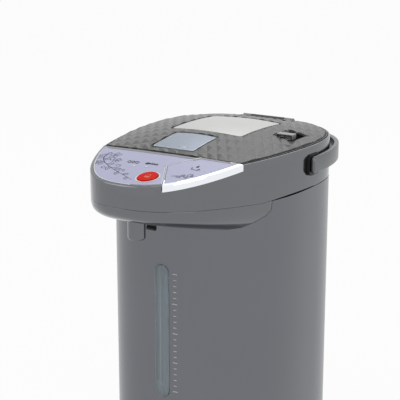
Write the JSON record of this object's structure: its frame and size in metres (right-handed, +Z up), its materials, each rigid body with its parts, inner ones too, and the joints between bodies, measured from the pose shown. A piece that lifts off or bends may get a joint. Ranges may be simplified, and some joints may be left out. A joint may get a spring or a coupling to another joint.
{
  "type": "electric thermo pot",
  "caption": "Tall oval electric thermo pot with a patterned hinged lid, air pump plate, sloping key panel, spout under an overhanging head and a folding handle.",
  "frame": {"origin": "centre of the swivel base's underside, on the swivel axis", "axes": "+Z up, -Y towards the spout, +X to the right seen from the rear"},
  "size_m": [0.2088, 0.312, 0.3395],
  "materials": {
    "shell_steel": "dark grey metallic coat, satin",
    "head_plastic": "dark grey metallic, semi-gloss",
    "dark_plastic": "black, satin",
    "lid_plastic": "grey-green, semi-gloss",
    "panel": "pale lavender gloss",
    "red": "red gloss",
    "chrome": "polished",
    "plate_silver": "silver, satin",
    "flap_blue": "blue-grey, satin",
    "stainless": "brushed",
    "steel": "plain",
    "alloy": "cast",
    "element": "oxidised",
    "brass": "plain",
    "silicone": "matte",
    "rubber": "matte",
    "white_plastic": "matte",
    "blue_plastic": "matte",
    "board": "matte",
    "lamp": "translucent white",
    "clear": "clear"
  },
  "bodies": {
    "pot": {"base_cover": "dark_plastic", "base_screws": "steel", "outer_shell": "shell_steel", "gauge_window": "clear", "gauge_tube": "clear", "power_inlet": "dark_plastic", "inlet_pins": "brass", "power_board": "board", "pot_stand": "alloy", "heater_plate": "alloy", "heating_element": "element", "thermostat": "dark_plastic", "inner_pot": "stainless", "strainer": "stainless", "pump_motor": "steel", "pump_housing": "white_plastic", "inlet_hose": "silicone", "outlet_hose": "silicone", "safety_valve": "white_plastic", "pot_collar": "silicone", "head_case": "head_plastic", "under_cover": "head_plastic", "outlet_pipe": "silicone", "spout": "head_plastic", "lever_pin": "steel", "cup_switch": "dark_plastic", "control_board": "board", "control_panel": "panel", "status_lamps": "lamp", "hinge_pin": "steel", "handle_washers": "dark_plastic", "handle_pins": "steel"},
    "turntable": {"swivel_base": "dark_plastic", "non_slip_ring": "rubber"},
    "lid": {"lid_cover": "lid_plastic", "lid_base": "dark_plastic", "inner_lid": "stainless", "lid_gasket": "silicone", "bellows": "rubber", "pump_spring": "steel", "air_valve": "white_plastic", "lock_recess": "dark_plastic", "flap_pin": "steel", "flap_spring": "steel", "steam_vent": "dark_plastic"},
    "plate": {"pump_plate": "plate_silver"},
    "lock": {"plate_lock": "chrome"},
    "flap": {"release_flap": "flap_blue"},
    "latch": {"lid_latch": "dark_plastic"},
    "button": {"unlock_button": "red"},
    "key": {"dispense_key": "panel", "key_edge": "chrome"},
    "handle": {"handle": "head_plastic"},
    "lever": {"cup_lever": "dark_plastic"},
    "impeller": {"pump_impeller": "blue_plastic"}
  },
  "joints": [
    {"name": "turntable_swivel", "type": "hinge", "parent": "pot", "child": "turntable", "pos_m": [0, 0, 0], "axis": [0, 0, 1], "continuous": true},
    {"name": "lid_hinge", "type": "hinge", "parent": "pot", "child": "lid", "pos_m": [0, 0.096, 0.3275], "axis": [-1, 0, 0], "range_deg": [0, 85]},
    {"name": "plate_press", "type": "slide", "parent": "lid", "child": "plate", "axis": [0, 0, -1], "range_m": [0, 0.012], "stiffness_N_per_m": 500, "springref_m": -0.012, "deforming": ["bellows", "pump_spring"]},
    {"name": "lock_slide", "type": "slide", "parent": "lid", "child": "lock", "axis": [0, 1, 0], "range_m": [0, 0.014]},
    {"name": "flap_tip", "type": "hinge", "parent": "lid", "child": "flap", "pos_m": [0, -0.057, 0.32944], "axis": [1, 0, 0], "range_deg": [0, 6], "stiffness_Nm_per_rad": 0.6, "springref_deg": -5.73, "deforming": ["flap_spring"]},
    {"name": "latch_slide", "type": "slide", "parent": "lid", "child": "latch", "axis": [0, 1, 0], "range_m": [0, 0.003]},
    {"name": "button_press", "type": "slide", "parent": "pot", "child": "button", "axis": [0, 0, -1], "range_m": [0, 0.0012], "stiffness_N_per_m": 400, "springref_m": -0.002},
    {"name": "key_press", "type": "slide", "parent": "pot", "child": "key", "axis": [0, 0, -1], "range_m": [0, 0.0018], "stiffness_N_per_m": 500, "springref_m": -0.003},
    {"name": "handle_swing", "type": "hinge", "parent": "pot", "child": "handle", "pos_m": [0, 0.006, 0.3085], "axis": [1, 0, 0], "range_deg": [0, 105]},
    {"name": "lever_push", "type": "hinge", "parent": "pot", "child": "lever", "pos_m": [0, -0.1358, 0.279], "axis": [1, 0, 0], "range_deg": [0, 12], "stiffness_Nm_per_rad": 0.05, "springref_deg": -11.46},
    {"name": "impeller_spin", "type": "hinge", "parent": "pot", "child": "impeller", "pos_m": [0, -0.0827, 0.05], "axis": [0, 0, 1], "continuous": true}
  ],
  "couplings": [
    {"joint": "latch_slide", "follows": "flap_tip", "m_per_rad": 0.028648}
  ]
}
